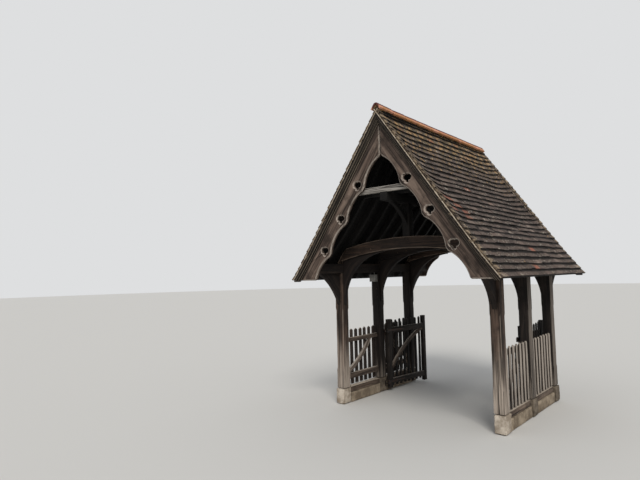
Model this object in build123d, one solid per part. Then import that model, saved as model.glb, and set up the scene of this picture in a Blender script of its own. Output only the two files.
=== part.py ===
from build123d import *
import math
import os

# Lychgate: an open oak frame over a churchyard path, with a steep tiled roof and a pair of gates.
# X runs across the gateway, Y along the ridge with the front gable at -Y, and Z is up from the ground.
# All sizes are in millimetres.

# Frame
truss_spacing = 950
post_centre_x = 1190
post_width = 140
post_depth = 150
post_chamfer = 14
chamfer_start_above_foot = 260
chamfer_stop_below_head = 520
chamfer_stop_length = 36
plate_bottom = 1930
plate_depth = 140

# Stones, kerbs and sills
stone_outward = 20
stone_margin = 20
kerb_height = 150
kerb_width = 140
sill_width = 110
sill_depth = 80
sill_chamfer = 10

# Tie beams and arch braces
tie_thickness = 130
tie_depth = 162
tie_haunch = 38
tie_camber = 143
tie_chamfer = 12
arch_thickness = 60
arch_radius = 762
arch_foot_reveal = 8
arch_spring_below_plate = 470
arch_tip_past_centre = 50

# Brackets under the wall plates' ends
bracket_thickness = 60
bracket_short_of_board = 55
bracket_drop = 470
bracket_sagitta = 64

# Seats of curved braces: how long a cut end is over the timber's depth
crown_brace_seat = 1.5
crown_brace_back_bow = 0.5
brace_seat = 1.4

# Roof planes
roof_pitch = 55
rafter_seat = 50
eave_overhang = 297
flare_length = 600
flare_rise = 21
slope_sag = 85
sag_fades_over = 450
verge_overhang = 625
tile_thickness = 45
board_thickness = 23
rafter_depth = 85
rafter_width = 60
rafter_tail = 190
rafter_foot_below_plate = 90
boards_short_of_eave = 25
ridge_board_thickness = 30
ridge_board_depth = 200
ridge_board_gap = 10
ridge_tile_reach = 112
ridge_tile_stand = 50
ridge_tile_radius = 45
ridge_tile_bed = 25
ridge_short_of_verge = 60

# Collars, collar purlin and crown posts
collar_share = 0.45
collar_depth = 74
collar_thickness = 50
purlin_size = 110
crown_post_size = 110
crown_brace_thickness = 55
crown_brace_depth = 80
crown_brace_reach = 400
crown_brace_share = 0.33
crown_brace_sagitta = 45

# Bargeboards
verge_past_board = 70
bargeboard_thickness = 45
bargeboard_width = 313
bargeboard_foot_below_eave = 19
scallops_from_apex = 489
scallops_short_of_eave = 150
piercings = 3
cusp_flat = 50
scallop_depth = 58
piercing_depth = 241
piercing_radius = 38
piercing_apart = 20
piercing_lobe_radius = 21
piercing_lobe_drop = 48

# Verge mouldings: each step's width down the board and how far it stands forward of the board
moulding_steps = ((33, 58), (26, 38), (20, 18))
moulding_roll = 9
moulding_reach = 260

# Side fences
rail_thickness = 44
fence_bottom_rail_above_sill = 102
fence_bottom_rail_depth = 85
fence_top_rail_above_sill = 652
fence_top_rail_depth = 67
pale_thickness = 20
pale_width = 62
pales_per_bay = 7
pale_gap = 10
left_pale_rise = 850
right_pale_rise = 770
pale_point = 22
fence_brace_depth = 62
fence_brace_thickness = 38
fence_brace_above_sill = 232
fence_brace_reach = 560
fence_brace_sagitta = 48

# Gate leaves
pivot_from_post = 70
pivot_y = 45
left_open_angle = 84
right_open_angle = 88
leaf_gap = 6
heel_clearance = 22
strap_thickness = 6
leaf_thickness = 56
heel_stile_width = 85
meeting_stile_width = 75
heel_stile_foot = 45
meeting_stile_foot = 30
leaf_top = 1155
stile_head_radius = 30
leaf_bottom_rail = 110
leaf_bottom_rail_depth = 85
leaf_top_rail = 932
leaf_top_rail_depth = 90
leaf_pale_foot = 70
leaf_pale_thickness = 18
leaf_pale_width = 44
leaf_pales = 8
leaf_brace_depth = 60
leaf_brace_foot = 400
leaf_brace_sagitta = 60

# Hinges
strap_height = 36
strap_length = 420
strap_seat = 3
strap_taper = 10
eye_radius = 15
pin_radius = 9
pin_clearance = 0.08
pin_rise = 50
eye_gap = 1
tail_size = 16
pintle_plate_height = 90
pintle_plate_width = 30
pintle_plate_thickness = 5

# Junction box and conduit
box_width = 115
box_height = 115
box_depth = 70
box_corner = 6
box_below_plate = 150
conduit_radius = 9

# Worked out from the sizes above
post_inner_x = post_centre_x - post_width / 2
post_outer_x = post_centre_x + post_width / 2
plate_top = plate_bottom + plate_depth
stone_height = kerb_height + sill_depth
fence_bottom_rail = stone_height + fence_bottom_rail_above_sill
fence_top_rail = stone_height + fence_top_rail_above_sill
tie_underside_crown = plate_top + tie_haunch + tie_camber
tie_camber_radius = (post_inner_x ** 2 + tie_camber ** 2) / (2 * tie_camber)
arch_centre_x = post_inner_x - arch_foot_reveal - arch_radius
arch_centre_z = plate_bottom - arch_spring_below_plate
arch_tip_x = arch_centre_x + arch_tip_past_centre
boards_depth = tile_thickness + board_thickness
rafter_underside = boards_depth + rafter_depth
sine = math.sin(math.radians(roof_pitch))
cosine = math.cos(math.radians(roof_pitch))
apex_height = plate_top + rafter_underside / cosine + (post_outer_x - rafter_seat) * sine / cosine
slope_length = (post_outer_x + eave_overhang) / cosine
flare_start = slope_length - flare_length
flare_radius = flare_length ** 2 / (2 * flare_rise)
end_truss_face = truss_spacing + post_depth / 2
roof_half_length = end_truss_face + verge_overhang
bargeboard_front = roof_half_length - verge_past_board
bargeboard_back = bargeboard_front - bargeboard_thickness
cusp_pitch = (slope_length - scallops_from_apex - scallops_short_of_eave) / (piercings + 1)
first_piercing_run = scallops_from_apex + cusp_pitch
sag_full_within = bargeboard_back - sag_fades_over
collar_height = plate_top + (apex_height - plate_top) * collar_share
outer_pair_y = bargeboard_back - rafter_width / 2
outer_bay = outer_pair_y - truss_spacing
rafter_places = (
    [-outer_pair_y, -truss_spacing - outer_bay / 2]
    + [truss_spacing * third / 3 for third in range(-3, 4)]
    + [truss_spacing + outer_bay / 2, outer_pair_y]
)
truss_places = {"front": -truss_spacing, "middle": 0, "rear": truss_spacing}


def block(x_low, x_high, y_low, y_high, z_low, z_high):
    """A squared timber or stone between two corners."""
    size = Box(x_high - x_low, y_high - y_low, z_high - z_low)
    return Pos((x_low + x_high) / 2, (y_low + y_high) / 2, (z_low + z_high) / 2) * size


def cut_across(edges, y_low, y_high):
    """An outline drawn in X and Z, made solid between two places along Y."""
    plane = Plane(origin=(0, y_high, 0), x_dir=(1, 0, 0), z_dir=(0, -1, 0))
    return extrude(plane * make_face(Wire(edges)), amount=y_high - y_low)


def cut_along(edges, x_low, x_high):
    """An outline drawn in Y and Z, made solid between two places along X."""
    plane = Plane(origin=(x_low, 0, 0), x_dir=(0, 1, 0), z_dir=(1, 0, 0))
    return extrude(plane * make_face(Wire(edges)), amount=x_high - x_low)


def closed(points):
    """Straight edges round a list of corners."""
    return Polyline(*points, close=True).edges()


def bowed(start, end, sagitta):
    """An arc from start to end, bowed to the left of that way by the sagitta."""
    chord_x = end[0] - start[0]
    chord_z = end[1] - start[1]
    length = math.hypot(chord_x, chord_z)
    middle_x = (start[0] + end[0]) / 2 - sagitta * chord_z / length
    middle_z = (start[1] + end[1]) / 2 + sagitta * chord_x / length
    return ThreePointArc(start, (middle_x, middle_z), end)


def mirrored(shape):
    """The same piece on the other side of the gateway."""
    return mirror(shape, about=Plane.YZ)


def to_rear(shape):
    """The same piece at the other gable."""
    return mirror(shape, about=Plane.XZ)


def roof_point(run, depth):
    """X and Z at a run down the right slope and a depth below the face of the tiles."""
    straight = min(run, flare_start)
    x = straight * cosine - depth * sine
    z = apex_height - straight * sine - depth * cosine
    if run <= flare_start:
        return (x, z)
    turn = (run - flare_start) / flare_radius
    pitch = math.radians(roof_pitch)
    radius = flare_radius + depth
    x += radius * (math.sin(pitch) - math.sin(pitch - turn))
    z += radius * (math.cos(pitch) - math.cos(pitch - turn))
    return (x, z)


def run_at(x, depth):
    """The run down the straight slope where a depth below the tiles is at X."""
    return (x + depth * sine) / cosine


def slope_line(start, end, sag):
    """A layer's face between two runs and a depth, dipping below its straight line by the sag."""
    if sag == 0:
        return Line(roof_point(*start), roof_point(*end))
    dip = roof_point((start[0] + end[0]) / 2, (start[1] + end[1]) / 2 + sag)
    return ThreePointArc(roof_point(*start), dip, roof_point(*end))


def roof_layer(depth_top, depth_bottom, sag=0, run_end=slope_length):
    """Outline of a layer of the right slope, from the plumb line of the ridge to the eave."""
    run_middle = (flare_start + run_end) / 2
    top = (run_at(0, depth_top), depth_top)
    bottom = (run_at(0, depth_bottom), depth_bottom)
    top_bend = (flare_start, depth_top)
    bottom_bend = (flare_start, depth_bottom)
    top_end = roof_point(run_end, depth_top)
    bottom_end = roof_point(run_end, depth_bottom)
    return [
        slope_line(top, top_bend, sag),
        ThreePointArc(roof_point(*top_bend), roof_point(run_middle, depth_top), top_end),
        Line(top_end, bottom_end),
        ThreePointArc(bottom_end, roof_point(run_middle, depth_bottom), roof_point(*bottom_bend)),
        slope_line(bottom_bend, bottom, sag),
        Line(roof_point(*bottom), roof_point(*top)),
    ]


def sag_at(y):
    """How far the old slope sags at a place along the roof: fully in the middle, not at the gables."""
    return slope_sag * min(1, (bargeboard_back - abs(y)) / sag_fades_over)


def above_rafters(sag, y_low, y_high):
    """All that is above the undersides of the right slope's rafters, to cut timbers to them."""
    return cut_across(roof_layer(-apex_height / 2, rafter_underside, sag), y_low - 1, y_high + 1)


def sagging_slope(depth_top, depth_bottom, run_end=slope_length):
    """A layer of the right slope between the bargeboards, its sag fading towards both gables."""
    layer = cut_across(roof_layer(depth_top, depth_bottom, slope_sag, run_end),
                       -sag_full_within, sag_full_within)
    sections = []
    for y in (-bargeboard_back, -sag_full_within):
        plane = Plane(origin=(0, y, 0), x_dir=(1, 0, 0), z_dir=(0, -1, 0))
        outline = roof_layer(depth_top, depth_bottom, sag_at(y), run_end)
        sections.append(plane * make_face(Wire(outline)))
    end = loft(sections, ruled=True)
    return layer + end + to_rear(end)


def tie_underside(x):
    """Height of the cambered underside of a tie beam."""
    return tie_underside_crown - tie_camber_radius + math.sqrt(tie_camber_radius ** 2 - x ** 2)


def tie_top(x):
    """Height of the cambered top of a tie beam."""
    radius = tie_camber_radius + tie_depth
    return tie_underside_crown - tie_camber_radius + math.sqrt(radius ** 2 - x ** 2)


def post(side, y):
    """A square post, its edges chamfered with sloping stops above the foot and below the head."""
    x = side * post_centre_x
    timber = block(x - post_width / 2, x + post_width / 2, y - post_depth / 2, y + post_depth / 2,
                   stone_height, plate_bottom)
    low = stone_height + chamfer_start_above_foot
    high = plate_bottom - chamfer_stop_below_head
    inward = post_chamfer / math.sqrt(2)
    cutter = cut_across(closed([
        (-inward, low + chamfer_stop_length),
        (inward, low - chamfer_stop_length),
        (inward, high + chamfer_stop_length),
        (-inward, high - chamfer_stop_length),
    ]), -post_chamfer * 2, post_chamfer * 2)
    for corner_x in (-1, 1):
        for corner_y in (-1, 1):
            turn = math.degrees(math.atan2(corner_y, corner_x))
            corner = Pos(x + corner_x * post_width / 2, y + corner_y * post_depth / 2, 0)
            timber -= corner * (Rot(0, 0, turn) * cutter)
    return timber


def post_stone(side, y):
    """The rough stone under a post, flush with it towards the gateway."""
    inner = side * post_inner_x
    outer = side * (post_outer_x + stone_outward)
    half = post_depth / 2 + stone_margin
    return block(min(inner, outer), max(inner, outer), y - half, y + half, 0, stone_height)


def bay_ends(bay, margin):
    """Where a side bay starts and ends along Y, clear of the posts by a margin."""
    near = post_depth / 2 + margin
    far = truss_spacing - post_depth / 2 - margin
    return (-far, -near) if bay == "front" else (near, far)


def kerb(side, bay):
    """The kerb under a bay, between the stones of its posts."""
    y_low, y_high = bay_ends(bay, stone_margin)
    x = side * (post_inner_x + kerb_width / 2)
    return block(x - kerb_width / 2, x + kerb_width / 2, y_low, y_high, 0, kerb_height)


def sill(side, bay):
    """The timber sill on a kerb, level with the tops of the stones, its upper edges chamfered."""
    y_low, y_high = bay_ends(bay, stone_margin)
    x = side * post_centre_x
    timber = block(x - sill_width / 2, x + sill_width / 2, y_low, y_high, kerb_height, stone_height)
    return chamfer(timber.faces().sort_by(Axis.Z)[-1].edges().filter_by(Axis.Y), sill_chamfer)


def wall_plate(side):
    """The plate along the tops of one side's posts, out to the backs of the bargeboards."""
    inner = side * post_inner_x
    outer = side * post_outer_x
    return block(min(inner, outer), max(inner, outer), -bargeboard_back, bargeboard_back,
                 plate_bottom, plate_top)


def tie_beam(name):
    """A cambered tie beam, seated on the wall plates and cut under the rafters."""
    span = post_outer_x
    half = [
        ThreePointArc((0, tie_underside(0)), (post_inner_x / 2, tie_underside(post_inner_x / 2)),
                      (post_inner_x, tie_underside(post_inner_x))),
        Line((post_inner_x, tie_underside(post_inner_x)), (post_inner_x, plate_top)),
        Line((post_inner_x, plate_top), (span, plate_top)),
        Line((span, plate_top), (span, tie_top(span))),
        ThreePointArc((span, tie_top(span)), (span / 2, tie_top(span / 2)), (0, tie_top(0))),
        Line((0, tie_top(0)), (0, tie_underside(0))),
    ]
    y_low, y_high = tie_faces(name)
    beam = cut_across(half, y_low, y_high)
    beam -= above_rafters(slope_sag, y_low, y_high)
    whole = beam + mirrored(beam)
    lower_edges = whole.edges().filter_by(GeomType.CIRCLE).group_by(Axis.Z)[0]
    return chamfer(lower_edges, tie_chamfer)


def tie_faces(name):
    """The faces of a tie beam along Y: the end ones are flush with the posts' outward faces."""
    if name == "front":
        return (-end_truss_face, -end_truss_face + tie_thickness)
    if name == "rear":
        return (end_truss_face - tie_thickness, end_truss_face)
    return (-tie_thickness / 2, tie_thickness / 2)


def circle_height(radius, x):
    """Height on the arch braces' circles at X."""
    return arch_centre_z + math.sqrt(radius ** 2 - (x - arch_centre_x) ** 2)


def circle_x(radius, z):
    """X on the arch braces' circles at a height."""
    return arch_centre_x + math.sqrt(radius ** 2 - (z - arch_centre_z) ** 2)


def arch_brace(y_low, y_high):
    """A curved knee on the right, filling the corner of a post and its tie beam."""
    foot_x = circle_x(arch_radius, arch_centre_z)
    tip_z = circle_height(arch_radius, arch_tip_x)
    bend = arch_radius * math.sqrt(0.5)
    soffit_middle = (arch_centre_x + bend, arch_centre_z + bend)
    seat_middle = (arch_tip_x + post_inner_x) / 2
    outline = [
        Line((post_inner_x, arch_centre_z), (foot_x, arch_centre_z)),
        ThreePointArc((foot_x, arch_centre_z), soffit_middle, (arch_tip_x, tip_z)),
        Line((arch_tip_x, tip_z), (arch_tip_x, tie_underside(arch_tip_x))),
        ThreePointArc((arch_tip_x, tie_underside(arch_tip_x)), (seat_middle, tie_underside(seat_middle)),
                      (post_inner_x, tie_underside(post_inner_x))),
        Line((post_inner_x, tie_underside(post_inner_x)), (post_inner_x, arch_centre_z)),
    ]
    return cut_across(outline, y_low, y_high)


def arch_braces():
    """The braces of all three trusses, each in the middle of its tie beam's thickness."""
    solids = []
    for name in truss_places:
        y_low, y_high = tie_faces(name)
        middle = (y_low + y_high) / 2
        brace = arch_brace(middle - arch_thickness / 2, middle + arch_thickness / 2)
        solids += [brace, mirrored(brace)]
    return Compound(children=solids)


def eaves_brackets():
    """Curved knees from the end posts out under the wall plates' ends, at all four corners."""
    foot = (-end_truss_face, plate_bottom - bracket_drop)
    corner = (-end_truss_face, plate_bottom)
    head = (-bargeboard_back + bracket_short_of_board, plate_bottom)
    outline = [bowed(head, foot, bracket_sagitta), Line(foot, corner), Line(corner, head)]
    half = bracket_thickness / 2
    bracket = cut_along(outline, -post_centre_x - half, -post_centre_x + half)
    pair = [bracket, mirrored(bracket)]
    return Compound(children=pair + [to_rear(one) for one in pair])


def crown_posts():
    """Crown posts on the tie beams, up to the collar purlin."""
    half = crown_post_size / 2
    foot = tie_underside_crown + tie_depth
    solids = []
    for y in truss_places.values():
        solids.append(block(-half, half, y - half, y + half, foot, collar_height - purlin_size))
    return Compound(children=solids)


def crown_braces():
    """Curved braces along the ridge, from each crown post forward and back to the collar purlin."""
    half = crown_brace_thickness / 2
    post_foot = tie_underside_crown + tie_depth
    post_head = collar_height - purlin_size
    foot = (-crown_post_size / 2, post_foot + (post_head - post_foot) * crown_brace_share)
    head = (foot[0] - crown_brace_reach, post_head)
    back_foot = (foot[0], foot[1] + crown_brace_depth * crown_brace_seat)
    back_head = (head[0] + crown_brace_depth * crown_brace_seat, post_head)
    brace = cut_along([
        bowed(head, foot, crown_brace_sagitta),
        Line(foot, back_foot),
        bowed(back_foot, back_head, -crown_brace_sagitta * crown_brace_back_bow),
        Line(back_head, head),
    ], -half, half)
    solids = []
    for y in truss_places.values():
        solids += [Pos(0, y, 0) * brace, Pos(0, y, 0) * to_rear(brace)]
    return Compound(children=solids)


def collar_purlin():
    """The purlin along the gateway under the collars."""
    half = purlin_size / 2
    end = outer_pair_y + collar_thickness / 2
    return block(-half, half, -end, end, collar_height - purlin_size, collar_height)


def collars():
    """A collar across each pair of rafters, its ends cut to their undersides."""
    reach = (apex_height - rafter_underside / cosine - collar_height) * cosine / sine
    half = collar_thickness / 2
    solids = []
    for y in rafter_places:
        timber = block(0, reach, y - half, y + half, collar_height, collar_height + collar_depth)
        timber -= above_rafters(rafter_sag(y), y - half, y + half)
        solids.append(timber + mirrored(timber))
    return Compound(children=solids)


def rafter_sag(y):
    """The sag of the rafter at Y, taken at its deeper edge so that it stays under the boards."""
    return sag_at(max(abs(y) - rafter_width / 2, 0))


def rafter(y):
    """A common rafter on the right slope, notched over the wall plate, its tail cut plumb and level."""
    half = rafter_width / 2
    timber = cut_across(roof_layer(boards_depth, rafter_underside, rafter_sag(y)), y - half, y + half)
    near = y - rafter_width
    far = y + rafter_width
    timber -= block(0, ridge_board_thickness / 2, near, far, 0, apex_height)
    timber -= block(0, post_outer_x, near, far, plate_bottom, plate_top)
    timber -= block(post_outer_x + rafter_tail, slope_length, near, far, 0, apex_height)
    return timber - block(0, slope_length, near, far, 0, plate_bottom - rafter_foot_below_plate)


def rafters():
    """The right slope's rafters."""
    return Compound(children=[rafter(y) for y in rafter_places])


def ridge_board():
    """The board between the heads of the rafters."""
    half = ridge_board_thickness / 2
    top = roof_point(run_at(half, boards_depth), boards_depth)[1] - ridge_board_gap
    return block(-half, half, -bargeboard_back, bargeboard_back, top - ridge_board_depth, top)


def roof_boards():
    """The boarding of the right slope, on the rafters and between the bargeboards."""
    return sagging_slope(tile_thickness, boards_depth, slope_length - boards_short_of_eave)


def tile_slope():
    """The tiles of the right slope, sweeping up to the verges over the bargeboards."""
    verge = cut_across(roof_layer(0, tile_thickness), -roof_half_length, -bargeboard_back)
    return sagging_slope(0, tile_thickness) + verge + to_rear(verge)


def ridge_tiles(slope):
    """The ridge tiles, rounded over the apex and bedded on the tiles of both slopes."""
    skirt_low = roof_point(ridge_tile_reach, ridge_tile_bed)
    skirt_high = roof_point(ridge_tile_reach, -ridge_tile_stand)
    crown = (0, apex_height + ridge_tile_stand / cosine - ridge_tile_radius * (1 / cosine - 1))
    shoulder = (ridge_tile_radius * sine, crown[1] - ridge_tile_radius * (1 - cosine))
    bed = (0, roof_point(run_at(0, ridge_tile_bed), ridge_tile_bed)[1])
    outline = [
        Line(bed, skirt_low),
        Line(skirt_low, skirt_high),
        Line(skirt_high, shoulder),
        ThreePointArc(shoulder, crown, (-shoulder[0], shoulder[1])),
        Line((-shoulder[0], shoulder[1]), (-skirt_high[0], skirt_high[1])),
        Line((-skirt_high[0], skirt_high[1]), (-skirt_low[0], skirt_low[1])),
        Line((-skirt_low[0], skirt_low[1]), bed),
    ]
    ridge = cut_across(outline, -roof_half_length, roof_half_length - ridge_short_of_verge)
    return ridge - slope - mirrored(slope)


def piercing(run, y_low, y_high):
    """A trefoil piercing: two round eyes side by side with a small lobe hanging below them."""
    x, z = roof_point(run, piercing_depth)
    middle = (y_low + y_high) / 2
    eye = Rot(90, 0, 0) * Cylinder(piercing_radius, y_high - y_low)
    lobe = Rot(90, 0, 0) * Cylinder(piercing_lobe_radius, y_high - y_low)
    eyes = Pos(x - piercing_apart, middle, z) * eye + Pos(x + piercing_apart, middle, z) * eye
    return eyes + Pos(x, middle, z - piercing_lobe_drop) * lobe


def bargeboard():
    """The front right bargeboard: scalloped between cusps, a piercing behind each, cut level at the foot."""
    y_low = -bargeboard_front
    y_high = -bargeboard_back
    cusp_depth = tile_thickness + bargeboard_width
    board = cut_across(roof_layer(tile_thickness, cusp_depth), y_low, y_high)
    foot = roof_point(slope_length, 0)[1] - bargeboard_foot_below_eave
    board -= block(0, slope_length, y_low - 1, y_high + 1, 0, foot)
    half_chord = (cusp_pitch - cusp_flat) / 2
    radius = (half_chord ** 2 + scallop_depth ** 2) / (2 * scallop_depth)
    scallop = Rot(90, 0, 0) * Cylinder(radius, bargeboard_thickness * 2)
    for place in range(piercings + 1):
        run = first_piercing_run + (place - 0.5) * cusp_pitch
        x, z = roof_point(min(run, flare_start), cusp_depth - scallop_depth + radius)
        x += max(run - flare_start, 0) * cosine
        z -= max(run - flare_start, 0) * sine
        board -= Pos(x, (y_low + y_high) / 2, z) * scallop
    for place in range(piercings):
        board -= piercing(first_piercing_run + place * cusp_pitch, y_low - 1, y_high + 1)
    return board


def verge_moulding():
    """The stepped moulding on the front right bargeboard, under the tiles."""
    depth = tile_thickness
    moulding = None
    for width, stand in moulding_steps:
        step = cut_across(roof_layer(depth, depth + width), -bargeboard_front - stand, -bargeboard_front)
        front_edges = step.edges().group_by(Axis.Y)[0]
        lowest = front_edges.sort_by(Axis.Z)[:4]
        nose = [edge for edge in lowest if abs(edge_depth(edge) - depth - width) < 1]
        step = fillet(nose, moulding_roll)
        moulding = step if moulding is None else moulding + step
        depth += width
    end_x = post_outer_x + moulding_reach
    return moulding - block(end_x, slope_length, -roof_half_length * 2, 0, 0, apex_height)


def edge_depth(edge):
    """How deep below the tiles an edge's middle lies, on the straight slope or the flare."""
    point = edge @ 0.5
    run = point.X * cosine + (apex_height - point.Z) * sine
    depth = -point.X * sine + (apex_height - point.Z) * cosine
    past = max(run - flare_start, 0)
    return depth + past ** 2 / (2 * flare_radius)


def verge_mouldings():
    """The mouldings of all four bargeboards."""
    one = verge_moulding()
    pair = [one, mirrored(one)]
    return Compound(children=pair + [to_rear(each) for each in pair])


def pale(width, foot, top, point):
    """Outline of a pale standing at the middle of its width, with a weathered point."""
    half = width / 2
    return [(-half, foot), (half, foot), (half, top - point), (0, top), (-half, top - point)]


def fence(side, bay):
    """A side bay's fence: two rails, a curved brace between them, and pales on the outward face."""
    y_low, y_high = bay_ends(bay, 0)
    x_low = post_centre_x - rail_thickness / 2
    x_high = post_centre_x + rail_thickness / 2
    top_of_pales = stone_height + (left_pale_rise if side < 0 else right_pale_rise)
    low_rail_top = fence_bottom_rail + fence_bottom_rail_depth
    panel = block(x_low, x_high, y_low, y_high, fence_bottom_rail, low_rail_top)
    panel += block(x_low, x_high, y_low, y_high, fence_top_rail, fence_top_rail + fence_top_rail_depth)
    pitch = (y_high - y_low) / pales_per_bay
    for number in range(pales_per_bay):
        y = y_low + (number + 0.5) * pitch
        outline = closed([(y + along, z) for along, z in
                          pale(pale_width, stone_height + pale_gap, top_of_pales, pale_point)])
        panel += cut_along(outline, x_high, x_high + pale_thickness)
    brace = fence_brace(y_low if bay == "front" else y_high, 1 if bay == "front" else -1)
    panel += brace
    return mirrored(panel) if side < 0 else panel


def fence_brace(foot_y, way):
    """The curved brace of a fence, from an end post up to the underside of the top rail."""
    underside = fence_top_rail
    foot_z = stone_height + fence_brace_above_sill
    low = (foot_y, foot_z)
    high = (foot_y + way * fence_brace_reach, underside)
    under_high = (high[0] + way * fence_brace_depth, underside)
    under_low = (foot_y, foot_z - fence_brace_depth * brace_seat)
    outline = [
        bowed(low, high, way * fence_brace_sagitta),
        Line(high, under_high),
        bowed(under_high, under_low, -way * fence_brace_sagitta),
        Line(under_low, low),
    ]
    x_low = post_centre_x - fence_brace_thickness / 2
    return cut_along(outline, x_low, x_low + fence_brace_thickness)


def leaf_length():
    """From the pivot to the free edge of a leaf."""
    return post_inner_x - pivot_from_post - leaf_gap


def leaf_frame():
    """A leaf's stiles, rails and curved brace, drawn shut along +X from a pivot at the origin."""
    front = strap_seat
    back = strap_seat + leaf_thickness
    rail_back = back - leaf_pale_thickness
    heel = heel_clearance
    free = leaf_length()
    frame = block(heel, heel + heel_stile_width, front, back, heel_stile_foot, leaf_top)
    meeting = block(free - meeting_stile_width, free, front, back, meeting_stile_foot, leaf_top)
    head = meeting.faces().sort_by(Axis.Z)[-1].edges().filter_by(Axis.Y)
    frame += fillet(head, stile_head_radius)
    inner_start = heel + heel_stile_width
    inner_end = free - meeting_stile_width
    frame += block(inner_start, inner_end, front, rail_back, leaf_bottom_rail,
                   leaf_bottom_rail + leaf_bottom_rail_depth)
    frame += block(inner_start, inner_end, front, rail_back, leaf_top_rail,
                   leaf_top_rail + leaf_top_rail_depth)
    low = (inner_start, leaf_brace_foot)
    high = (inner_end - leaf_brace_depth, leaf_top_rail)
    under_high = (inner_end, leaf_top_rail)
    under_low = (inner_start, leaf_brace_foot - leaf_brace_depth * brace_seat)
    outline = [
        bowed(low, high, leaf_brace_sagitta),
        Line(high, under_high),
        bowed(under_high, under_low, -leaf_brace_sagitta),
        Line(under_low, low),
    ]
    frame += cut_across(outline, front, rail_back)
    return frame


def leaf_pales_apart():
    """A leaf's pales, on the backs of its rails and between its stiles."""
    start = heel_clearance + heel_stile_width
    end = leaf_length() - meeting_stile_width
    back = strap_seat + leaf_thickness
    pitch = (end - start) / leaf_pales
    solids = []
    for number in range(leaf_pales):
        u = start + (number + 0.5) * pitch
        outline = closed([(u + along, z) for along, z in
                          pale(leaf_pale_width, leaf_pale_foot, leaf_top, pale_point)])
        solids.append(cut_across(outline, back - leaf_pale_thickness, back))
    return solids


def gate_leaf():
    """A whole leaf, its pales nailed to its rails and brace."""
    leaf = leaf_frame()
    for one in leaf_pales_apart():
        leaf += one
    return leaf


def hinge_heights():
    """The undersides of a leaf's two strap hinges, in the middle of its rails."""
    low = leaf_bottom_rail + (leaf_bottom_rail_depth - strap_height) / 2
    high = leaf_top_rail + (leaf_top_rail_depth - strap_height) / 2
    return (low, high)


def leaf_hinges():
    """A leaf's strap hinges: a long tapered strap on the front face, with an eye round the pivot."""
    solids = []
    for z in hinge_heights():
        outline = closed([
            (0, z),
            (strap_length, z + strap_taper),
            (strap_length, z + strap_height - strap_taper),
            (0, z + strap_height),
        ])
        strap = cut_across(outline, strap_seat - strap_thickness, strap_seat)
        eye = Pos(0, 0, z + strap_height / 2) * Cylinder(eye_radius, strap_height)
        bore = Pos(0, 0, z + strap_height / 2) * Cylinder(pin_radius + pin_clearance, strap_height * 2)
        solids.append(strap + eye - bore)
    return Compound(children=solids)


def pintles():
    """Pintles on the right middle post: a plate, a tail and a pin under each hinge eye."""
    pivot_x = post_inner_x - pivot_from_post
    solids = []
    for z in hinge_heights():
        seat = z - eye_gap
        tail = block(pivot_x, post_inner_x, pivot_y - tail_size / 2, pivot_y + tail_size / 2,
                     seat - tail_size, seat)
        knuckle = Pos(pivot_x, pivot_y, seat - tail_size / 2) * Cylinder(eye_radius, tail_size)
        pin = Pos(pivot_x, pivot_y, seat + pin_rise / 2) * Cylinder(pin_radius, pin_rise)
        middle = seat - tail_size / 2
        plate = block(post_inner_x - pintle_plate_thickness, post_inner_x,
                      pivot_y - pintle_plate_width / 2, pivot_y + pintle_plate_width / 2,
                      middle - pintle_plate_height / 2, middle + pintle_plate_height / 2)
        solids.append(tail + knuckle + pin + plate)
    return solids


def hung_left(shape):
    """Hang a leaf's piece on the left middle post at its open angle."""
    pivot = Pos(-(post_inner_x - pivot_from_post), pivot_y, 0)
    return pivot * (Rot(0, 0, left_open_angle) * shape)


def hung_right(shape):
    """Hang a leaf's piece on the right middle post at its open angle."""
    pivot = Pos(post_inner_x - pivot_from_post, pivot_y, 0)
    return pivot * (Rot(0, 0, -right_open_angle) * mirrored(shape))


def junction_box():
    """A small box on the front of the left middle post, with a conduit up to the wall plate."""
    face = -post_depth / 2
    half = box_width / 2
    low = plate_bottom - box_below_plate
    high = low + box_height
    case = block(-post_centre_x - half, -post_centre_x + half, face - box_depth, face, low, high)
    case = fillet(case.edges().filter_by(Axis.Z), box_corner)
    conduit = Pos(-post_centre_x, face - conduit_radius, (high + plate_bottom) / 2)
    return case + conduit * Cylinder(conduit_radius, plate_bottom - high)


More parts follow.
